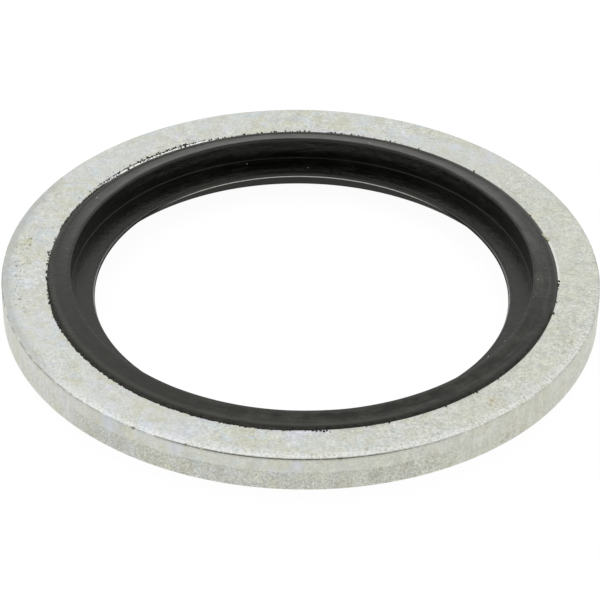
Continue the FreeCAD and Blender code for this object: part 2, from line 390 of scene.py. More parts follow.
def places_round(tree, in_mm):
    """A point's place without its height, its radius, its height and its angle round the washer."""
    flat = add(tree, "ShaderNodeVectorMath", {0: in_mm, 1: (1, 1, 0)}, operation="MULTIPLY")
    radius = add(tree, "ShaderNodeVectorMath", {0: flat}, operation="LENGTH").outputs["Value"]
    height = add(tree, "ShaderNodeSeparateXYZ", {0: in_mm}).outputs["Z"]
    return flat, radius, height, angle_round(tree, in_mm)


def overlap(tree, masks):
    """Where masks lie over one another: all of them and their strengths, multiplied together."""
    part = masks[0]
    for mask in masks[1:]:
        part = add(tree, "ShaderNodeMath", {0: part, 1: mask}, operation="MULTIPLY")
    return part


def coat(tree, under, code, *masks):
    """Coats what is under with a colour, where the masks overlap."""
    part = overlap(tree, masks)
    return add(tree, "ShaderNodeMix", {0: part, 6: under, 7: colour(code)}, data_type="RGBA").outputs[2]


def brighten(tree, under, light, *masks):
    """Multiplies what is under by a light, where the masks overlap."""
    off = add(tree, "ShaderNodeMath", {0: light, 1: 1.0}, operation="SUBTRACT")
    part = overlap(tree, masks)
    factor = add(tree, "ShaderNodeMath", {0: off, 1: part, 2: 1.0}, operation="MULTIPLY_ADD")
    return add(tree, "ShaderNodeVectorMath", {0: under, "Scale": factor}, operation="SCALE")


# %% [markdown]
# ## The steel ring
#
# A blanking punch leaves its history on the edge of a ring. At the top the sheet is drawn down into a
# soft roll, below that the punch rubs the wall smooth, and then the steel tears and leaves a grey grainy
# band down to the lower face. The section gets each of these, with closely spaced points on the wall, so
# that the torn grain is real shape and not only shading. Tumbling breaks the sharp edges.

# %% The steel's section
ROLL_WIDTH = 0.30
ROLL_DEPTH = 0.03
UPPER_BREAK = 0.04       # radius of the upper edge
LOWER_BREAK = 0.022      # and of the lower one
FOOT_OF_TEAR = 11.977    # the torn band leans in towards its foot
ROLL_CURVE = (ROLL_WIDTH ** 2 + ROLL_DEPTH ** 2) / (2 * ROLL_DEPTH)
ROLL_END = math.degrees(math.acos((ROLL_WIDTH - UPPER_BREAK) / ROLL_CURVE))
TEAR_TOP = STEEL_TOP - 0.66
EDGE_TOP = STEEL_TOP - ROLL_CURVE * (1 - math.sin(math.radians(ROLL_END)))
low_corner = (FOOT_OF_TEAR - LOWER_BREAK, STEEL_BOTTOM + LOWER_BREAK)
high_corner = (OUTER_RADIUS - UPPER_BREAK, EDGE_TOP - UPPER_BREAK)
roll_centre = (OUTER_RADIUS - ROLL_WIDTH, STEEL_TOP - ROLL_CURVE)
steel_points = (
    run((BOND_RADIUS, STEEL_BOTTOM), (low_corner[0], STEEL_BOTTOM), 4)
    + bow(low_corner, LOWER_BREAK, -90, 0, 3)
    + run((FOOT_OF_TEAR, low_corner[1]), (OUTER_RADIUS, TEAR_TOP), 18)
    + run((OUTER_RADIUS, TEAR_TOP), (OUTER_RADIUS, high_corner[1]), 6)
    + bow(high_corner, UPPER_BREAK, 0, 86, 4)
    + bow(roll_centre, ROLL_CURVE, ROLL_END, 90, 6)
    + run((roll_centre[0], STEEL_TOP), (BOND_RADIUS, STEEL_TOP), 6)
    + run((BOND_RADIUS, STEEL_TOP), (BOND_RADIUS, STEEL_BOTTOM), 2))

steel_marks = {
    "torn": [swell(r, 11.93, 11.96) * swell(z, STEEL_BOTTOM + 0.03, STEEL_BOTTOM + 0.14)
             * (1 - swell(z, TEAR_TOP - 0.10, TEAR_TOP + 0.02)) for r, z in steel_points],
    "edge": [swell(r, 11.955, 11.965) * swell(z, EDGE_TOP - 0.05, EDGE_TOP - 0.03) for r, z in steel_points],
    "roll": [swell(r, 11.6, 11.8) * (1 - swell(r, 11.95, 11.97)) * swell(z, 1.9, 1.95)
             for r, z in steel_points],
    "bore": [1 - swell(r, 10.3, 11.6) for r, z in steel_points],
}
print("steel section:", len(steel_points), "points")

# %% The tree that sweeps and tears the steel
tree, given = new_tree("sweep_steel", [
    ("Sweep radius", "Float"), ("Segments", "Int"), ("Grain per mm", "Float"), ("Tear depth", "Float"),
    ("Edge wear", "Float"), ("Bore shift", "Vector"), ("Finish", "Material")])
ring = carry_round(tree, given)
place = add(tree, "GeometryNodeInputPosition")
in_mm = add(tree, "ShaderNodeVectorMath", {0: place, "Scale": 1 / MM}, operation="SCALE")
angle = angle_round(tree, place)
torn, edge, bore = [add(tree, "GeometryNodeInputNamedAttribute", {"Name": name}, data_type="FLOAT")
                    for name in ("torn", "edge", "bore")]

# The tear is deepest at the front left and almost rubbed smooth at the right. Tumbling rounds the upper
# edge unevenly. Both push the skin in or out by a noise, where their mark is.
side = add(tree, "ShaderNodeMapRange", {
    "Value": stretch(tree, angle, 256.0, 34.0, 25.0), "To Min": 0.3, "To Max": 1.0})
grain = add(tree, "ShaderNodeTexNoise", {
    "Vector": in_mm, "Scale": given["Grain per mm"], "Detail": 3.0, "Roughness": 0.6})
waves = add(tree, "ShaderNodeTexNoise", {"Vector": in_mm, "Scale": 1.3, "Detail": 4.0, "Roughness": 0.7})
shift = 0.0
for noise, *masks in ((grain, given["Tear depth"], torn, side), (waves, given["Edge wear"], edge)):
    centred = add(tree, "ShaderNodeMath", {0: noise, 1: 0.5}, operation="SUBTRACT")
    part = overlap(tree, [centred, *masks])
    shift = add(tree, "ShaderNodeMath", {0: part, 1: shift}, operation="ADD")
outward = add(tree, "GeometryNodeInputNormal")
push = add(tree, "ShaderNodeVectorMath", {0: outward, "Scale": shift}, operation="SCALE")
rough = add(tree, "GeometryNodeSetPosition", {"Geometry": ring, "Offset": push})

# The bore sits off centre, and takes the inner part of both faces with it.
aside = add(tree, "ShaderNodeVectorMath", {0: given["Bore shift"], "Scale": bore}, operation="SCALE")
bored = add(tree, "GeometryNodeSetPosition", {"Geometry": rough, "Offset": aside})
end_tree(tree, given, smooth(tree, bored))
sweep_steel = tree

# %% [markdown]
# ### Zinc plating
#
# The finish is zinc plating with a clear passivation, barrel plated: the part tumbles in the bath with
# hundreds of others. Zinc is a dull, slightly cool grey metal. Passivation is a film thinner than a
# wavelength of light, so it tints the zinc in blotches of straw, lavender and sea green. Tumbling
# adds fine speckle, pits and bright scuffs.
#
# From its coordinates the tree gets the radius, the height and the angle round the ring, and the section's
# marks tell it where the roll and the upper edge are.

# %% Zinc plating: coordinates and tints
zinc, tree, in_mm = start_material("zinc_plated_clear_passivated_steel")
flat, radius, height, angle = places_round(tree, in_mm)
edge, roll = [add(tree, "ShaderNodeAttribute", attribute_name=name).outputs["Fac"]
              for name in ("edge", "roll")]

# Most coats are cut from these noises, each with its scale per mm, its detail and its roughness.
speck, fine, ragged, dots, grit, patches, gaps, specks, relief = [
    add(tree, "ShaderNodeTexNoise", {"Vector": in_mm, "Scale": scale, "Detail": detail, "Roughness": rough})
    for scale, detail, rough in (
        (2.0, 7.0, 0.9), (9.0, 3.0, 0.8), (7.0, 4.0, 0.8), (2.6, 3.0, 0.7), (13.0, 2.0, 0.8),
        (1.6, 3.0, 0.7), (4.0, 4.0, 0.8), (7.0, 2.0, 0.6), (5.0, 5.0, 0.7))]

# Blotches of the passivation film, 1 to 2 mm across, with crinkled edges. Each kind has its place in the
# noise, its scale and roughness, the values of the noise between which it fades in, and its colour.
OTHER_PLACE = (31.0, 17.0, 5.0)      # where the noise has another pattern
TINTS = [((0.0, 0.0, 0.0), 0.8, 0.58, 0.47, 0.60, "#CCCDBF"),
         (OTHER_PLACE, 0.8, 0.58, 0.54, 0.68, "#D5D5DD"),
         ((-13.0, 41.0, 9.0), 1.1, 0.62, 0.53, 0.62, "#CDD3D3")]
surface = colour("#D0D2CD")
for offset, scale, roughness, low, high, paint in TINTS:
    moved = add(tree, "ShaderNodeVectorMath", {0: in_mm, 1: offset}, operation="ADD")
    blotch = add(tree, "ShaderNodeTexNoise", {
        "Vector": moved, "Scale": scale, "Detail": 6.0, "Roughness": roughness, "Distortion": 0.8})
    there = add(tree, "ShaderNodeMapRange", {"Value": blotch, "From Min": low, "From Max": high})
    surface = coat(tree, surface, paint, there)

# The film is thicker, and so yellower, along the right.
surface = coat(tree, surface, "#CBCCBE", stretch(tree, angle, 345.0, 40.0, 45.0), 0.55)

# %% Zinc plating: speckle, pits and chips
# Speckle from the grain of the plating: it runs from 1 mm down to less than a pixel. Some patches are
# calmer than others, and the front right is the liveliest.
light, fine_light = [add(tree, "ShaderNodeMapRange", {
    "Value": noise, "From Min": 0.3, "From Max": 0.7, "To Min": 1 - swing, "To Max": 1 + swing}, clamp=False)
    for noise, swing in ((speck, 0.21), (fine, 0.18))]
grain_light = add(tree, "ShaderNodeMath", {0: light, 1: fine_light}, operation="MULTIPLY")
elsewhere = add(tree, "ShaderNodeVectorMath", {0: in_mm, 1: OTHER_PLACE}, operation="ADD")
calm = add(tree, "ShaderNodeTexNoise", {"Vector": elsewhere, "Scale": 0.35, "Detail": 2.0, "Roughness": 0.5})
lively = add(tree, "ShaderNodeMapRange", {
    "Value": calm, "From Min": 0.36, "From Max": 0.62, "To Min": 0.6, "To Max": 1.2})
lively = add(tree, "ShaderNodeMath", {
    0: stretch(tree, angle, 318.0, 28.0, 14.0), 1: 0.5, 2: lively}, operation="MULTIPLY_ADD")
surface = brighten(tree, surface, grain_light, lively)

# Pits come in two sizes: some under a tenth of a millimetre across everywhere, about one in every seven
# square millimetres, and a crowd of finer ones at the left, where the strip lay on something hard.
CROWD_RADIUS = 11.40
holes = []
for per_mm, deep, rim, bare in ((1.5, 0.035, 0.075, 0.45), (7.5, 0.14, 0.30, 0.52)):
    cells = add(tree, "ShaderNodeTexVoronoi", {"Vector": in_mm, "Scale": per_mm, "Randomness": 1.0})
    hole = add(tree, "ShaderNodeMapRange", {
        "Value": cells, "From Min": deep, "From Max": rim, "To Min": 1.0, "To Max": 0.0})
    which = add(tree, "ShaderNodeSeparateXYZ", {0: cells.outputs["Color"]})
    chosen = add(tree, "ShaderNodeMath", {0: which, 1: bare}, operation="GREATER_THAN")
    holes.append(add(tree, "ShaderNodeMath", {0: hole, 1: chosen}, operation="MULTIPLY"))
pit, fine_pit = holes
surface = coat(tree, surface, "#5F5C50", pit, 0.5)
from_band = add(tree, "ShaderNodeMath", {0: radius, 1: CROWD_RADIUS}, operation="SUBTRACT")
band_off = add(tree, "ShaderNodeMath", {0: from_band}, operation="ABSOLUTE")
band = add(tree, "ShaderNodeMapRange", {
    "Value": band_off, "From Min": 0.20, "From Max": 0.40, "To Min": 0.9, "To Max": 0.0})
surface = coat(tree, surface, "#5A574C", fine_pit, band, stretch(tree, angle, 182.0, 10.0, 8.0))

# The larger marks that catch the eye, on the face, the upper edge and the wall. Each has its angle,
# radius and height, its size in mm, its strength and its colour.
FACE = STEEL_TOP
MARKS = [(282.6, 11.62, FACE, 0.09, 0.7, "#85795A"), (286.8, 11.60, FACE, 0.07, 0.5, "#9A8E70"),
         (311.8, 11.05, FACE, 0.12, 0.6, "#AE9B72"), (310.6, 11.20, FACE, 0.08, 0.5, "#A8946C"),
         (337.5, 11.50, FACE, 0.09, 0.5, "#978A6A"), (128.0, 11.70, FACE, 0.10, 0.4, "#B5A47E"),
         (179.5, 11.42, FACE, 0.05, 0.8, "#6B675C"), (182.9, 11.42, FACE, 0.05, 0.8, "#6B675C"),
         (169.6, 11.18, FACE, 0.07, 0.8, "#66604C"), (171.8, 11.11, FACE, 0.07, 0.8, "#66604C"),
         (170.6, 11.22, FACE, 0.22, 0.55, "#C2C09A"), (190.9, 11.37, FACE, 0.06, 0.7, "#75715F"),
         (177.9, 10.64, FACE, 0.22, 0.5, "#D8DBE6"), (196.0, 11.69, FACE, 0.30, 0.5, "#D9DCE6"),
         (54.8, 11.19, FACE, 0.26, 0.5, "#D2DAE6"), (45.6, 11.50, FACE, 0.22, 0.4, "#D2DAE4"),
         (111.9, 11.21, FACE, 0.30, 0.5, "#D3DADF"), (231.0, 11.43, FACE, 0.30, 0.5, "#DADDE8"),
         (240.9, 11.54, FACE, 0.26, 0.5, "#DADDE8"), (248.7, 11.24, FACE, 0.20, 0.4, "#D8DBE6"),
         (238.6, 11.97, EDGE_TOP, 0.09, 0.9, "#5E5238"), (249.4, 11.97, EDGE_TOP, 0.07, 0.8, "#6A5E42"),
         (277.5, 11.97, EDGE_TOP, 0.08, 0.9, "#4E4630"), (269.8, 12.0, 1.72, 0.30, 0.75, "#D0D5E4"),
         (247.0, 12.0, 1.66, 0.34, 0.7, "#D2D7E4"), (232.8, 12.0, 1.67, 0.34, 0.8, "#CFD5E6"),
         (283.8, 12.0, 0.98, 0.26, 0.6, "#8E8E84"), (311.9, 12.0, 0.84, 0.14, 0.6, "#9C9070"),
         (310.4, 12.0, 0.74, 0.10, 0.5, "#8E8160"), (279.7, 12.0, 1.01, 0.26, 0.6, "#CFCFC8")]
for round_to, out_to, up_to, size, strength, paint in MARKS:
    spot = (out_to * math.cos(math.radians(round_to)), out_to * math.sin(math.radians(round_to)), up_to)
    gap = add(tree, "ShaderNodeVectorMath", {0: in_mm, 1: spot}, operation="DISTANCE").outputs["Value"]
    ragged_gap = add(tree, "ShaderNodeMath", {0: ragged, 1: size * 3.0, 2: gap}, operation="MULTIPLY_ADD")
    mask = add(tree, "ShaderNodeMapRange", {
        "Value": ragged_gap, "From Min": size * 1.9, "From Max": size * 2.8,
        "To Min": strength, "To Max": 0.0})
    surface = coat(tree, surface, paint, mask)

# %% Zinc plating: the roll, the edge, the wall and the bond line
# The roll at the front is painted bright in a band a few tenths of a millimetre wide: partly scuffs from
# tumbling, partly a painted highlight where the roll, tilted towards the camera, reflects the bright tent
# above. At the left it is a duller grey.
scuffs_and_highlight = add(tree, "ShaderNodeMapRange", {"Value": fine, "From Min": 0.42, "From Max": 0.56})
surface = coat(tree, surface, "#E8E9E8", scuffs_and_highlight, roll, stretch(tree, angle, 276.0, 56.0, 28.0), 0.75)
surface = coat(tree, surface, "#ADAFAD", roll, stretch(tree, angle, 183.0, 24.0, 20.0), 0.6)

# The upper edge is a thin dark line: partly wear, partly painted shade where its small rounding faces the
# dark opening round the camera. It is clearest at the front, and dotted elsewhere.
clear_side = stretch(tree, angle, 267.0, 9.0, 26.0)
dot_cut = add(tree, "ShaderNodeMapRange", {"Value": clear_side, "To Min": 0.42, "To Max": 0.30})
dot_over = add(tree, "ShaderNodeMath", {0: dots, 1: dot_cut}, operation="SUBTRACT")
dot_mask = add(tree, "ShaderNodeMapRange", {"Value": dot_over, "From Min": 0.0, "From Max": 0.1})
wear_and_shade_depth = add(tree, "ShaderNodeMapRange", {"Value": clear_side, "To Min": 0.25, "To Max": 0.92})
wear_and_shade_depth = add(tree, "ShaderNodeMath", {
    0: stretch(tree, angle, 203.0, 18.0, 14.0), 1: 0.35, 2: wear_and_shade_depth}, operation="MULTIPLY_ADD")
surface = coat(tree, surface, "#6A6960", dot_mask, edge, wear_and_shade_depth)

# The wall: the punch's fine upright drag lines, and grey grit where the steel tore.
spoke = add(tree, "ShaderNodeVectorMath", {0: flat}, operation="NORMALIZE")
upright = add(tree, "ShaderNodeVectorMath", {0: spoke, "Scale": 45.0}, operation="SCALE")
drag = add(tree, "ShaderNodeTexNoise", {
    "Vector": upright, "W": height, "Scale": 1.0, "Detail": 4.0, "Roughness": 0.7}, noise_dimensions="4D")
drag_light, grit_light, patch_light = [add(tree, "ShaderNodeMapRange", {
    "Value": noise, "From Min": low, "From Max": high, "To Min": dim, "To Max": bright})
    for noise, low, high, dim, bright in (
        (drag, 0.35, 0.65, 0.91, 1.08), (grit, 0.35, 0.65, 0.50, 1.16), (patches, 0.36, 0.64, 0.90, 1.08))]
outside = add(tree, "ShaderNodeMapRange", {"Value": radius, "From Min": 11.94, "From Max": 11.96})
under_roll = add(tree, "ShaderNodeMapRange", {
    "Value": height, "From Min": EDGE_TOP - 0.04, "From Max": EDGE_TOP - 0.02, "To Min": 1.0, "To Max": 0.0})
wall = add(tree, "ShaderNodeMath", {0: outside, 1: under_roll}, operation="MULTIPLY")
wobble = add(tree, "ShaderNodeTexNoise", {"Vector": flat, "Scale": 0.35, "Detail": 4.0, "Roughness": 0.6})
line_shift = add(tree, "ShaderNodeMath", {0: wobble, 1: 0.15, 2: height}, operation="MULTIPLY_ADD")
torn_band = add(tree, "ShaderNodeMapRange", {
    "Value": line_shift, "From Min": TEAR_TOP + 0.07, "From Max": TEAR_TOP + 0.10,
    "To Min": 1.0, "To Max": 0.0})
torn_side = add(tree, "ShaderNodeMapRange", {
    "Value": stretch(tree, angle, 262.0, 32.0, 9.0), "To Min": 0.12, "To Max": 1.0})
torn_light = add(tree, "ShaderNodeMath", {0: grit_light, 1: patch_light}, operation="MULTIPLY")
surface = brighten(tree, surface, drag_light, wall)
surface = brighten(tree, surface, torn_light, wall, torn_band, torn_side)
surface = coat(tree, surface, "#D5D5C5", wall, 0.32)

# Beside the rubber, at the back left and the right, a thin band is painted near white: partly bare zinc at
# the edge of the bore, partly a painted glint off that chamfered edge.
off_bore = add(tree, "ShaderNodeVectorMath", {0: flat, 1: (*BORE_OFF, 0)}, operation="SUBTRACT")
from_bore = add(tree, "ShaderNodeVectorMath", {0: off_bore}, operation="LENGTH").outputs["Value"]
bare_zinc_and_glint = add(tree, "ShaderNodeMapRange", {
    "Value": from_bore, "From Min": 10.31, "From Max": 10.35, "To Min": 0.85, "To Max": 0.0})
bare_and_glint_side = add(tree, "ShaderNodeMath", {
    0: stretch(tree, angle, 5.0, 7.0, 5.0), 1: 0.55, 2: stretch(tree, angle, 127.0, 12.0, 5.0)},
    operation="MULTIPLY_ADD")
surface = coat(tree, surface, "#F6F6F2", bare_zinc_and_glint, bare_and_glint_side)

# At the back left a broken line of dirt runs round outside that, where the flash was torn away, and fine
# specks of dirt lie farther out.
DIRT_RADIUS = 10.385
dirt_off = add(tree, "ShaderNodeMath", {0: from_bore, 1: DIRT_RADIUS}, operation="SUBTRACT")
dirt_away = add(tree, "ShaderNodeMath", {0: dirt_off}, operation="ABSOLUTE")
dirt = add(tree, "ShaderNodeMapRange", {
    "Value": dirt_away, "From Min": 0.025, "From Max": 0.05, "To Min": 0.95, "To Max": 0.0})
broken = add(tree, "ShaderNodeMapRange", {"Value": gaps, "From Min": 0.42, "From Max": 0.52})
surface = coat(tree, surface, "#38362E", dirt, stretch(tree, angle, 130.0, 13.0, 6.0), broken)
crumbly = add(tree, "ShaderNodeMapRange", {
    "Value": from_bore, "From Min": 10.45, "From Max": 10.75, "To Min": 1.0, "To Max": 0.0})
fleck_mask = add(tree, "ShaderNodeMapRange", {
    "Value": specks, "From Min": 0.60, "From Max": 0.68, "To Min": 0.0, "To Max": 0.75})
surface = coat(tree, surface, "#4C4A40", crumbly, fleck_mask, stretch(tree, angle, 138.0, 12.0, 10.0))

# %% Zinc plating: relief and shader
dented = add(tree, "ShaderNodeMath", {0: pit, 1: -0.6, 2: relief}, operation="MULTIPLY_ADD")
bump = add(tree, "ShaderNodeBump", {"Height": dented, "Strength": 0.4, "Distance": 0.02 * MM})
dull = add(tree, "ShaderNodeMapRange", {"Value": speck, "To Min": 0.34, "To Max": 0.50})
metal = add(tree, "ShaderNodeBsdfPrincipled", {
    "Base Color": surface, "Metallic": 1.0, "Roughness": dull, "Normal": bump})
add(tree, "ShaderNodeOutputMaterial", {"Surface": metal})
print("zinc plating:", len(tree.nodes), "nodes")

# %% Make the steel ring
steel = section_object("steel_ring_plated", steel_points, steel_marks)
freeze(steel, sweep_steel, {
    "Sweep radius": BOND_RADIUS * MM, "Segments": 1900, "Grain per mm": 10.0, "Tear depth": 0.05 * MM,
    "Edge wear": 0.025 * MM, "Bore shift": BORE_SHIFT, "Finish": zinc})
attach(steel, "root")
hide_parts("steel_ring")

# %% [markdown]
# ## The rubber ring
#
# The rubber is moulded nitrile, black with carbon. From the steel inwards it starts with a small step,
# climbs a hollow slope to a ridge, falls a little over a narrow land, drops down an upright flank, and
# runs out as a thin web to the rim that touches the bolt. The same outline, turned over, makes the lip
# below. The rim's upper corner is rounded off, and its lower corner keeps a torn feather of flash.


# %% The rubber's section
FILLET = 0.03
NOSE = 0.22


def lip(steel_face):
    """One lip's outline from the bond in to the web, with heights counted from the rubber's middle plane."""
    step = (BOND_RADIUS - 0.09, steel_face + 0.06)
    shoulder = (BOND_RADIUS - 0.19, steel_face + 0.092)
    hollow = (9.80, steel_face + 0.120)
    knee = (9.65, steel_face + 0.155)
    ridge = (RIDGE_RADIUS + 0.01, HALF_RUBBER - 0.004)
    points = run((BOND_RADIUS, steel_face), step, 2)
    points += arc(step, shoulder, -0.22, 4)
    points += arc(shoulder, hollow, 1.8, 5)
    points += arc(hollow, knee, 0.80, 4)
    points += arc(knee, ridge, 4.0, 4)
    points += [ridge, (RIDGE_RADIUS - 0.01, HALF_RUBBER)]
    points += bow((FLANK_TOP + 0.02, HALF_RUBBER - 0.030), 0.02, 95, 180, 4)
    points += run((FLANK_TOP, HALF_RUBBER - 0.030), (FOOT_RADIUS, HALF_RUBBER - 0.34), 3)
    points += run((FOOT_RADIUS, HALF_RUBBER - 0.34), (FOOT_RADIUS, HALF_ROOT + FILLET), 5)
    points += bow((FOOT_RADIUS - FILLET, HALF_ROOT + FILLET), FILLET, 0, -90, 4)
    return points


upper = [(r, HALF_RUBBER + z) for r, z in lip(STEEL_TOP - HALF_RUBBER)]
lower = [(r, HALF_RUBBER - z) for r, z in reversed(lip(HALF_RUBBER - STEEL_BOTTOM))]
nose_top = BORE_RADIUS + NOSE * (1 - math.cos(math.radians(45)))
nose_low = HALF_RIM - NOSE * math.sin(math.radians(45))
web = [(r, HALF_RUBBER + z) for r, z in
       run((FOOT_RADIUS - FILLET, HALF_ROOT), (nose_top, HALF_RIM), 6)
       + bow((BORE_RADIUS + NOSE, nose_low), NOSE, 135, 186, 6)
       + [(BORE_RADIUS + 0.003, 0.041 - HALF_RIM), (BORE_RADIUS + 0.003, 0.040 - HALF_RIM),
          (BORE_RADIUS - 0.02, 0.037 - HALF_RIM), (BORE_RADIUS - 0.02, -HALF_RIM),
          (BORE_RADIUS + 0.01, -HALF_RIM), (BORE_RADIUS + 0.02, -HALF_RIM)]]
rubber_points = upper + web + lower
TRIM = HALF_RUBBER - HALF_RIM + 0.0395
rubber_marks = {
    "flash": [1.0 if r < BORE_RADIUS + 0.005 and z < TRIM else 0.0 for r, z in rubber_points],
    "slope": [swell(r, 9.31, 9.36) for r, z in rubber_points],
    "bond": [swell(r, 9.9, 10.1) for r, z in rubber_points],
    "shoulder": [swell(r, 9.85, 9.98) * (1 - swell(r, 10.06, 10.14)) for r, z in rubber_points],
    "ridge": [swell(r, 9.33, 9.37) * (1 - swell(r, 9.42, 9.9)) for r, z in rubber_points],
    "rise": [swell(r, 9.2, 9.3) * (1 - swell(r, 9.5, 10.1)) * swell(z, 1.5, 2.1) for r, z in rubber_points],
}
print("rubber section:", len(rubber_points), "points, top at", round(max(z for r, z in rubber_points), 3))

# %% [markdown]
# The tree adds what a real moulding has: the ridge wanders by a few hundredths of a millimetre, stands a
# little higher at the back and farther out at the front, and the whole ring sits off centre.

# %% The tree that sweeps the rubber
tree, given = new_tree("sweep_rubber", [
    ("Sweep radius", "Float"), ("Segments", "Int"), ("Lip waviness", "Float"),
    ("Lip rise at the back", "Float"), ("Ridge out at the front", "Float"), ("Seal shift", "Vector"),
    ("Bond shift", "Vector"), ("Finish", "Material")])
ring = carry_round(tree, given)
place = add(tree, "GeometryNodeInputPosition")
in_mm = add(tree, "ShaderNodeVectorMath", {0: place, "Scale": 1 / MM}, operation="SCALE")
flat = add(tree, "ShaderNodeVectorMath", {0: place, 1: (1, 1, 0)}, operation="MULTIPLY")
radial = add(tree, "ShaderNodeVectorMath", {0: flat}, operation="NORMALIZE")
backward = add(tree, "ShaderNodeSeparateXYZ", {0: radial}).outputs["Y"]
rise_mark, ridge_mark, bond_mark = [
    add(tree, "GeometryNodeInputNamedAttribute", {"Name": name}, data_type="FLOAT")
    for name in ("rise", "ridge", "bond")]
waves = add(tree, "ShaderNodeTexNoise", {"Vector": in_mm, "Scale": 0.5, "Detail": 3.0, "Roughness": 0.5})
centred = add(tree, "ShaderNodeMath", {0: waves, 1: 0.5}, operation="SUBTRACT")
wave = add(tree, "ShaderNodeMath", {0: centred, 1: given["Lip waviness"]}, operation="MULTIPLY")
out_front = add(tree, "ShaderNodeMath", {
    0: backward, 1: given["Ridge out at the front"]}, operation="MULTIPLY")
ridge_out = add(tree, "ShaderNodeMath", {0: wave, 1: out_front}, operation="SUBTRACT")
ridge_there = add(tree, "ShaderNodeMath", {0: ridge_out, 1: ridge_mark}, operation="MULTIPLY")
sideways = add(tree, "ShaderNodeVectorMath", {0: radial, "Scale": ridge_there}, operation="SCALE")
lift = add(tree, "ShaderNodeMath", {
    0: given["Lip rise at the back"], 1: backward, 2: wave}, operation="MULTIPLY_ADD")
lift_there = add(tree, "ShaderNodeMath", {0: lift, 1: rise_mark}, operation="MULTIPLY")
upwards = add(tree, "ShaderNodeCombineXYZ", {"Z": lift_there})
off_centre = add(tree, "ShaderNodeMix", {
    0: bond_mark, 4: given["Seal shift"], 5: given["Bond shift"]}, data_type="VECTOR").outputs[1]
both = add(tree, "ShaderNodeVectorMath", {0: sideways, 1: upwards}, operation="ADD")
moves = add(tree, "ShaderNodeVectorMath", {0: both, 1: off_centre}, operation="ADD")
uneven = add(tree, "GeometryNodeSetPosition", {"Geometry": ring, "Offset": moves})
end_tree(tree, given, smooth(tree, uneven))
sweep_rubber = tree

# %% [markdown]
# ### Moulded nitrile rubber
#
# Carbon black makes nitrile rubber almost black, so what the eye sees is nearly all its satin gloss. The
# mould was turned on a lathe, so faint streaks run round the rubber, and a grey bloom of wax and talc
# lies on it. It is painted strongest on the open slope of the lip; less of it on the flank, the web and
# the step at the bond is painted shade, and a lighter line on the shoulder is a painted highlight. The
# edge at the bond is grainy where rubber crept onto the steel and tore off again. The gloss has the faint
# warm cast of the photograph's blacks.

# %% Moulded nitrile rubber
rubber, tree, in_mm = start_material("moulded_nitrile_rubber")
flat, radius, height, angle = places_round(tree, in_mm)
slope, bond, shoulder, trim = [add(tree, "ShaderNodeAttribute", attribute_name=name).outputs["Fac"]
                               for name in ("slope", "bond", "shoulder", "flash")]

# Lathe streaks: 0.2 mm wide across the slope and a millimetre or two long round the ring.
round_ring = add(tree, "ShaderNodeVectorMath", {0: flat}, operation="NORMALIZE")
long_way = add(tree, "ShaderNodeVectorMath", {0: round_ring, "Scale": 6.0}, operation="SCALE")
across = add(tree, "ShaderNodeMath", {0: radius, 1: height}, operation="ADD")
across_fine = add(tree, "ShaderNodeMath", {0: across, 1: 6.0}, operation="MULTIPLY")
streaks = add(tree, "ShaderNodeTexNoise", {
    "Vector": long_way, "W": across_fine, "Scale": 1.0, "Detail": 4.0, "Roughness": 0.65},
    noise_dimensions="4D")

# The grey bloom. Less of it on the flank and the web is painted shade in that recess, and less on the step
# at the bond is painted shade in the groove there. At the front left there is less of it too.
bloom = add(tree, "ShaderNodeTexNoise", {"Vector": in_mm, "Scale": 1.4, "Detail": 6.0, "Roughness": 0.7})
grey = add(tree, "ShaderNodeMath", {0: streaks, 1: bloom}, operation="MULTIPLY")
grey = add(tree, "ShaderNodeMapRange", {"Value": grey, "From Min": 0.21, "From Max": 0.33})
darker_front_left_and_bond = add(tree, "ShaderNodeMath", {
    0: stretch(tree, angle, 203.0, 33.0, 25.0), 1: bond}, operation="MAXIMUM")
for mask, least, most in ((slope, 0.25, 1.0), (darker_front_left_and_bond, 1.0, 0.2)):
    share = add(tree, "ShaderNodeMapRange", {"Value": mask, "To Min": least, "To Max": most})
    grey = add(tree, "ShaderNodeMath", {0: grey, 1: share}, operation="MULTIPLY")

# A painted highlight: at the front left and the front the shoulder beside the step is painted as a lighter
# line, where that convex edge catches the light.
shoulder_highlight_side = add(tree, "ShaderNodeMath", {0: stretch(tree, angle, 238.0, 50.0, 12.0), 1: 0.6},
                 operation="MULTIPLY")
grey = add(tree, "ShaderNodeMath", {0: shoulder, 1: shoulder_highlight_side, 2: grey}, operation="MULTIPLY_ADD")
shade = coat(tree, colour("#040403"), "#302F2B", grey)

# Torn grains at the bond edge: black pores and pale crumbs, along the left and the back.
grains = add(tree, "ShaderNodeTexNoise", {"Vector": in_mm, "Scale": 10.0, "Detail": 2.0, "Roughness": 0.8})
pale = add(tree, "ShaderNodeMapRange", {"Value": grains, "From Min": 0.50, "From Max": 0.66})
grainy_left, grainy_back = [add(tree, "ShaderNodeMath", {0: there, 1: strength}, operation="MULTIPLY")
                            for there, strength in ((stretch(tree, angle, 176.0, 22.0, 14.0), 0.4),
                                                    (stretch(tree, angle, 100.0, 45.0, 20.0), 0.45))]
grainy = add(tree, "ShaderNodeMath", {0: grainy_left, 1: grainy_back}, operation="MAXIMUM")
grainy_edge = add(tree, "ShaderNodeMath", {0: grainy, 1: bond}, operation="MULTIPLY")
shade = coat(tree, shade, "#55534C", pale, grainy_edge)

# The feather of flash at the rim is matt, and pale where it was torn, which is at the back.
backward = add(tree, "ShaderNodeMapRange", {
    "Value": add(tree, "ShaderNodeSeparateXYZ", {0: in_mm}).outputs["Y"], "From Min": 5.6, "From Max": 7.2})
shade = coat(tree, shade, "#DEDED8", trim, backward)

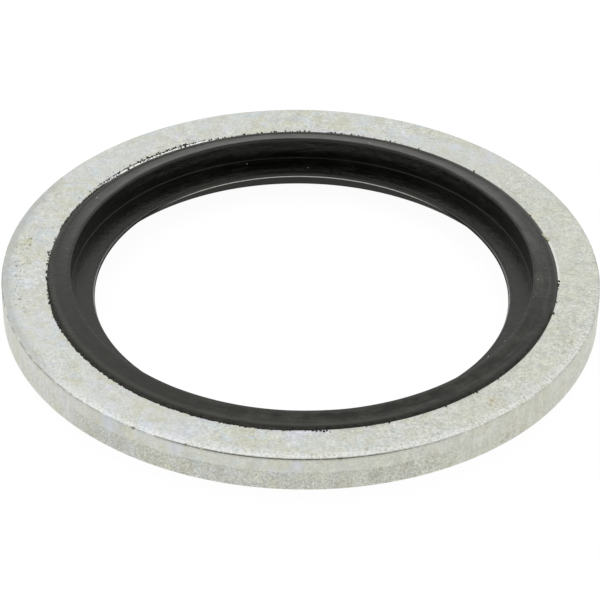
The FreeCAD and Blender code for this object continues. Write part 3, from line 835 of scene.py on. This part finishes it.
glossy_inside = add(tree, "ShaderNodeMapRange", {"Value": slope, "To Min": 0.10, "To Max": 0.25})
satin = add(tree, "ShaderNodeMath", {0: streaks, 1: 0.12, 2: glossy_inside}, operation="MULTIPLY_ADD")
matt_trim = add(tree, "ShaderNodeMath", {0: satin, 1: trim}, operation="MAXIMUM")
grain = add(tree, "ShaderNodeTexNoise", {"Vector": in_mm, "Scale": 3.0, "Detail": 5.0, "Roughness": 0.75})
edge_relief = add(tree, "ShaderNodeMath", {0: grains, 1: grainy_edge}, operation="MULTIPLY")
relief = add(tree, "ShaderNodeMath", {0: edge_relief, 1: 9.0, 2: grain}, operation="MULTIPLY_ADD")
bump = add(tree, "ShaderNodeBump", {"Height": relief, "Strength": 1.0, "Distance": 0.026 * MM})
skin = add(tree, "ShaderNodeBsdfPrincipled", {
    "Base Color": shade, "Roughness": matt_trim, "IOR": 1.5, "Specular IOR Level": 0.41,
    "Specular Tint": colour("#FFFFF5"), "Normal": bump})
add(tree, "ShaderNodeOutputMaterial", {"Surface": skin})
print("rubber:", len(tree.nodes), "nodes")

# %% Make the rubber ring
seal = section_object("rubber_seal_moulded", rubber_points, rubber_marks)
freeze(seal, sweep_rubber, {
    "Sweep radius": BOND_RADIUS * MM, "Segments": 1080, "Lip waviness": 0.04 * MM,
    "Lip rise at the back": 0.035 * MM, "Ridge out at the front": 0.055 * MM,
    "Seal shift": SEAL_SHIFT, "Bond shift": BORE_SHIFT, "Finish": rubber})
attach(seal, "root")
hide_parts("rubber_seal")

# %% [markdown]
# ## The flash film
#
# Under pressure a little rubber creeps out between the mould and the steel, and stays there as a film
# a tenth of a millimetre wide with a ragged edge. On this washer it lines the front, is widest at the
# front left, and shows once more at the left. It is a narrow swept ring whose outer points are pushed out
# by a noise. At the front right it was rubbed back onto the rubber's step, so it is drawn in there and
# lifted to lie on it. Where it was trimmed off it sinks below the steel and the rubber, out of sight.

# %% The film's section and tree
film_points = [(10.18, STEEL_TOP - 0.004), (BOND_RADIUS, STEEL_TOP - 0.004), (10.254, STEEL_TOP + 0.006),
               (10.235, STEEL_TOP + 0.024), (10.20, STEEL_TOP + 0.045), (10.18, STEEL_TOP + 0.052)]
film_marks = {"reach": [0.0, 1.0, 1.0, 0.6, 0.1, 0.0]}

tree, given = new_tree("sweep_film", [
    ("Sweep radius", "Float"), ("Segments", "Int"), ("Width at the front left", "Float"),
    ("Width at the left", "Float"), ("Drawn in at the front right", "Float"), ("Lift there", "Float"),
    ("Sink", "Float"), ("Bond shift", "Vector"), ("Finish", "Material")])
ring = carry_round(tree, given)
place = add(tree, "GeometryNodeInputPosition")
flat = add(tree, "ShaderNodeVectorMath", {0: place, 1: (1, 1, 0)}, operation="MULTIPLY")
radial = add(tree, "ShaderNodeVectorMath", {0: flat}, operation="NORMALIZE")
round_mm = add(tree, "ShaderNodeVectorMath", {0: radial, "Scale": BOND_RADIUS}, operation="SCALE")
reach = add(tree, "GeometryNodeInputNamedAttribute", {"Name": "reach"}, data_type="FLOAT")
angle = angle_round(tree, place)
front_left = stretch(tree, angle, 231.0, 31.0, 9.0)
left = stretch(tree, angle, 154.0, 9.0, 6.0)
front_width = add(tree, "ShaderNodeMath", {
    0: front_left, 1: given["Width at the front left"]}, operation="MULTIPLY")
full_width = add(tree, "ShaderNodeMath", {
    0: left, 1: given["Width at the left"], 2: front_width}, operation="MULTIPLY_ADD")
ragged = add(tree, "ShaderNodeTexNoise", {"Vector": round_mm, "Scale": 6.5, "Detail": 4.0, "Roughness": 0.85})
share = add(tree, "ShaderNodeMapRange", {
    "Value": ragged, "From Min": 0.42, "From Max": 0.66, "To Min": 0.25, "To Max": 0.9})
width = add(tree, "ShaderNodeMath", {0: full_width, 1: share}, operation="MULTIPLY")
width_there = add(tree, "ShaderNodeMath", {0: width, 1: reach}, operation="MULTIPLY")
front_right = stretch(tree, angle, 312.0, 34.0, 10.0)
drawn_in = add(tree, "ShaderNodeMath", {
    0: front_right, 1: given["Drawn in at the front right"]}, operation="MULTIPLY")
width_left = add(tree, "ShaderNodeMath", {0: width_there, 1: drawn_in}, operation="SUBTRACT")
outwards = add(tree, "ShaderNodeVectorMath", {0: radial, "Scale": width_left}, operation="SCALE")
kept_there = add(tree, "ShaderNodeMath", {
    0: stretch(tree, angle, 267.0, 78.0, 12.0), 1: left}, operation="MAXIMUM")
trimmed = add(tree, "ShaderNodeMath", {0: 1.0, 1: kept_there}, operation="SUBTRACT")
sunk = add(tree, "ShaderNodeMath", {0: trimmed, 1: given["Sink"]}, operation="MULTIPLY")
lift = add(tree, "ShaderNodeMath", {0: front_right, 1: given["Lift there"]}, operation="MULTIPLY")
upwards = add(tree, "ShaderNodeCombineXYZ", {
    "Z": add(tree, "ShaderNodeMath", {0: lift, 1: sunk}, operation="SUBTRACT")})
moves = add(tree, "ShaderNodeVectorMath", {0: outwards, 1: given["Bond shift"]}, operation="ADD")
moves = add(tree, "ShaderNodeVectorMath", {0: moves, 1: upwards}, operation="ADD")
crept = add(tree, "GeometryNodeSetPosition", {"Geometry": ring, "Offset": moves})
soft = add(tree, "GeometryNodeSetShadeSmooth", {"Geometry": crept, "Shade Smooth": True})
end_tree(tree, given, soft)
sweep_film = tree

# %% [markdown]
# Torn rubber is matt: its broken surface scatters the little light that it returns. So the film and the
# crumbs have a rough finish with little gloss, blacker than the moulded skin. At the left the film is
# stretched so thin that the zinc behind makes it a dusty grey.

# %% Torn rubber of the film and the crumbs
flash, tree, in_mm = start_material("torn_rubber_flash")
angle = angle_round(tree, in_mm)
thin = add(tree, "ShaderNodeTexNoise", {"Vector": in_mm, "Scale": 6.0, "Detail": 3.0, "Roughness": 0.7})
mottle = add(tree, "ShaderNodeMapRange", {"Value": thin, "From Min": 0.35, "From Max": 0.65})
dark = coat(tree, colour("#1C1B18"), "#403E38", mottle)
dusty = coat(tree, colour("#2C2B29"), "#595852", mottle)
shade = add(tree, "ShaderNodeMix", {
    0: stretch(tree, angle, 163.0, 10.0, 5.0), 6: dark, 7: dusty}, data_type="RGBA").outputs[2]
skin = add(tree, "ShaderNodeBsdfPrincipled", {
    "Base Color": shade, "Roughness": 0.85, "IOR": 1.5, "Specular IOR Level": 0.25})
add(tree, "ShaderNodeOutputMaterial", {"Surface": skin})

# %% Make the film
film = section_object("rubber_flash_film", film_points, film_marks)
freeze(film, sweep_film, {
    "Sweep radius": BOND_RADIUS * MM, "Segments": 2000, "Width at the front left": 0.13 * MM,
    "Width at the left": 0.12 * MM, "Drawn in at the front right": 0.045 * MM, "Lift there": 0.02 * MM,
    "Sink": 0.06 * MM, "Bond shift": BORE_SHIFT, "Finish": flash})
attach(film, "root")

# %% [markdown]
# ## Crumbs and dust
#
# Where the flash was brushed off, crumbs of it cling to the steel beside the bond. They are too many to
# place by hand, and too uneven to place by a plain array. The tree takes the few large ones as points,
# adds random ones on a circle, keeps more of them along the back left, and puts a small stone on each.
# Dust uses the same tree, with its own points and no random ones.

# %% The tree that scatters grains
tree, given = new_tree("scatter_grains", [
    ("Count", "Int"), ("Ring radius", "Float"), ("Spread", "Float"), ("Share kept", "Float"),
    ("Smallest", "Float"), ("Largest", "Float"), ("Height", "Float"), ("Shift", "Vector"), ("Seed", "Int"),
    ("Finish", "Material")])
circle = add(tree, "GeometryNodeCurvePrimitiveCircle", {"Resolution": 256, "Radius": given["Ring radius"]})
dotted = add(tree, "GeometryNodeCurveToPoints", {"Curve": circle, "Count": given["Count"]}, mode="COUNT")
place = add(tree, "GeometryNodeInputPosition")
angle = angle_round(tree, place)

# Crumbs are dense at the back left, and thinner at the left, the front and the back.
dense = 0.08
for middle, half, fade, share in ((133.0, 24.0, 10.0, 1.0), (178.0, 22.0, 12.0, 0.7),
                                  (277.0, 14.0, 8.0, 0.3), (88.0, 22.0, 12.0, 0.45)):
    there = add(tree, "ShaderNodeMath", {
        0: stretch(tree, angle, middle, half, fade), 1: share}, operation="MULTIPLY")
    dense = add(tree, "ShaderNodeMath", {0: there, 1: dense}, operation="MAXIMUM")
kept = add(tree, "ShaderNodeMath", {0: dense, 1: given["Share kept"]}, operation="MULTIPLY")
dice = add(tree, "FunctionNodeRandomValue", {"Seed": given["Seed"]}, data_type="FLOAT").outputs[1]
lost = add(tree, "ShaderNodeMath", {0: dice, 1: kept}, operation="GREATER_THAN")
few = add(tree, "GeometryNodeDeleteGeometry", {"Geometry": dotted, "Selection": lost}, domain="POINT")
seed_2 = add(tree, "ShaderNodeMath", {0: given["Seed"], 1: 1.0}, operation="ADD")
stray = add(tree, "FunctionNodeRandomValue", {"Seed": seed_2}, data_type="FLOAT").outputs[1]
near = add(tree, "ShaderNodeMapRange", {
    "Value": stretch(tree, angle, 132.0, 16.0, 8.0), "To Min": 0.25, "To Max": 1.0})
near_there = add(tree, "ShaderNodeMath", {0: near, 1: given["Spread"]}, operation="MULTIPLY")
stray_out = add(tree, "ShaderNodeMath", {0: stray, 1: near_there}, operation="MULTIPLY")
radial = add(tree, "ShaderNodeVectorMath", {0: place}, operation="NORMALIZE")
strayed = add(tree, "ShaderNodeVectorMath", {0: radial, "Scale": stray_out}, operation="SCALE")
onto = add(tree, "ShaderNodeCombineXYZ", {"Z": given["Height"]})
moved = add(tree, "ShaderNodeVectorMath", {0: strayed, 1: onto}, operation="ADD")
moved = add(tree, "ShaderNodeVectorMath", {0: moved, 1: given["Shift"]}, operation="ADD")
spread = add(tree, "GeometryNodeSetPosition", {"Geometry": few, "Offset": moved})
seed_3 = add(tree, "ShaderNodeMath", {0: given["Seed"], 1: 2.0}, operation="ADD")
sizes = add(tree, "FunctionNodeRandomValue", {
    2: given["Smallest"], 3: given["Largest"], "Seed": seed_3}, data_type="FLOAT").outputs[1]
sized = add(tree, "GeometryNodeStoreNamedAttribute", {
    "Geometry": spread, "Name": "size", "Value": sizes}, data_type="FLOAT", domain="POINT")
chosen = add(tree, "GeometryNodeMeshToPoints", {"Mesh": given["Geometry"]})
points = add(tree, "GeometryNodeJoinGeometry")
tree.links.new(sized.outputs[0], points.inputs[0])
tree.links.new(chosen.outputs[0], points.inputs[0])
ball = add(tree, "GeometryNodeMeshIcoSphere", {"Radius": 1.0, "Subdivisions": 1})
size = add(tree, "GeometryNodeInputNamedAttribute", {"Name": "size"}, data_type="FLOAT")
stone = add(tree, "ShaderNodeVectorMath", {0: (1.25, 0.9, 0.7), "Scale": size}, operation="SCALE")
spin = add(tree, "FunctionNodeRandomValue", {
    0: (0, 0, 0), 1: (0.4, 0.4, 6.283), "Seed": given["Seed"]}, data_type="FLOAT_VECTOR")
grains = add(tree, "GeometryNodeInstanceOnPoints", {
    "Points": points, "Instance": ball, "Rotation": spin, "Scale": stone})
end_tree(tree, given, grains)
scatter_grains = tree


# %% Points that sit on what carries them
def points_object(name, places, carriers):
    """Makes points from (angle, radius, size), each dropped straight down onto the pieces that carry it."""
    surfaces = [BVHTree.FromPolygons([v.co for v in p.data.vertices], [f.vertices for f in p.data.polygons])
                for p in carriers]
    spots = []
    for angle, radius, size in places:
        x = radius * math.cos(math.radians(angle)) * MM
        y = radius * math.sin(math.radians(angle)) * MM
        hits = [s.ray_cast(Vector((x, y, 5 * MM)), Vector((0, 0, -1)))[0] for s in surfaces]
        spots.append((x, y, max(hit.z for hit in hits if hit is not None)))
    mesh = bpy.data.meshes.new(name)
    mesh.from_pydata(spots, [], [])
    layer = mesh.attributes.new("size", "FLOAT", "POINT")
    layer.data.foreach_set("value", [size * MM for angle, radius, size in places])
    piece = bpy.data.objects.new(name, mesh)
    scene.collection.objects.link(piece)
    return piece


# %% Crumbs of rubber beside the bond
CRUMBS = [(266.7, 10.31, 0.034), (271.5, 10.30, 0.032), (272.9, 10.31, 0.034), (274.6, 10.32, 0.050),
          (275.3, 10.37, 0.055), (275.9, 10.33, 0.048), (276.6, 10.42, 0.028), (278.8, 10.27, 0.030),
          (285.2, 10.28, 0.032), (288.0, 10.26, 0.030), (128.9, 10.40, 0.060), (127.8, 10.35, 0.045),
          (126.3, 10.37, 0.055), (125.7, 10.42, 0.035), (123.6, 10.36, 0.060), (123.0, 10.39, 0.045),
          (121.2, 10.38, 0.050), (119.8, 10.41, 0.040), (119.0, 10.36, 0.060), (118.5, 10.38, 0.055),
          (130.4, 10.42, 0.040), (131.7, 10.38, 0.050), (134.0, 10.40, 0.045), (173.9, 10.28, 0.055),
          (174.7, 10.25, 0.040), (357.7, 10.36, 0.055), (356.6, 10.34, 0.050), (355.8, 10.30, 0.040),
          (354.8, 10.33, 0.035), (104.0, 10.26, 0.050), (96.8, 10.27, 0.045), (89.6, 10.28, 0.050),
          (83.3, 10.26, 0.045), (81.0, 10.25, 0.040)]
crumbs = points_object("rubber_crumbs", CRUMBS, [steel, seal])
freeze(crumbs, scatter_grains, {
    "Count": 640, "Ring radius": 10.26 * MM, "Spread": 0.14 * MM, "Share kept": 0.6, "Smallest": 0.016 * MM,
    "Largest": 0.048 * MM, "Height": (STEEL_TOP + 0.008) * MM, "Shift": BORE_SHIFT,
    "Seed": 7, "Finish": flash})
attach(crumbs, "root")

# %% [markdown]
# Dust is lint and talc, pale and dull. A black part always shows some, and a few specks on the rubber say
# how small the washer is. At the right a larger straw-coloured chip sticks to the bond line.

# %% Dust specks
lint, tree, in_mm = start_material("pale_dust")
fleck = add(tree, "ShaderNodeTexNoise", {"Vector": in_mm, "Scale": 12.0, "Detail": 1.0})
shade = coat(tree, colour("#8A8A84"), "#D2D2CC", fleck)
chip_side = stretch(tree, angle_round(tree, in_mm), 14.5, 3.0, 1.0)
shade = coat(tree, shade, "#C2C1A4", chip_side)
skin = add(tree, "ShaderNodeBsdfPrincipled", {"Base Color": shade, "Roughness": 0.9, "IOR": 1.5})
add(tree, "ShaderNodeOutputMaterial", {"Surface": skin})

DUST = [(150.2, 9.76, 0.038), (173.6, 9.50, 0.018), (105.0, 9.09, 0.026), (72.8, 9.50, 0.045),
        (356.2, 9.50, 0.026), (348.8, 9.42, 0.018), (336.7, 8.81, 0.030), (328.7, 8.66, 0.038),
        (88.4, 8.60, 0.020), (76.2, 9.00, 0.012), (15.4, 10.22, 0.075), (14.7, 10.27, 0.110),
        (13.8, 10.32, 0.090), (14.2, 10.40, 0.040)]
dust = points_object("dust_specks", DUST, [seal, steel])
freeze(dust, scatter_grains, {
    "Count": 8, "Ring radius": 9.0 * MM, "Spread": 0.0, "Share kept": 0.0, "Smallest": 0.01 * MM,
    "Largest": 0.02 * MM, "Height": 0.0, "Shift": (0, 0, 0), "Seed": 3, "Finish": lint})
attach(dust, "root")
